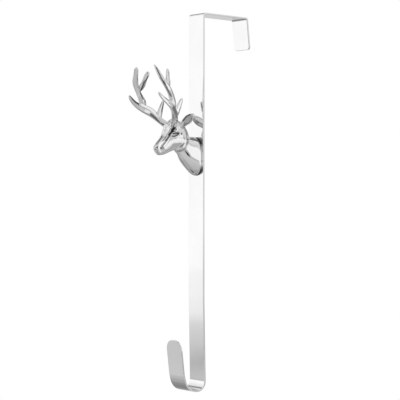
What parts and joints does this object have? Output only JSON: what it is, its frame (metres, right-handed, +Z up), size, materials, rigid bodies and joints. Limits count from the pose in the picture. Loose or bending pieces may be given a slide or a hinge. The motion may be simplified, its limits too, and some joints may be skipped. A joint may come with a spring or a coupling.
{
  "type": "wreath hanger",
  "caption": "Over-the-door hanger bent from one flat metal band, with a cast stag head on its front and a rounded hook below for a wreath.",
  "frame": {"origin": "middle of the underside of the bridge, which sits on the top of the door", "axes": "+X across the band, +Y from the room towards the back of the door, +Z up"},
  "size_m": [0.0736, 0.118, 0.3665],
  "materials": {
    "strap": "mirror polished plate",
    "stag_head": "polished plated casting",
    "screws": "plated steel"
  },
  "bodies": {
    "root": {"strap": "strap", "stag_head": "stag_head", "screws": "screws"}
  },
  "joints": []
}
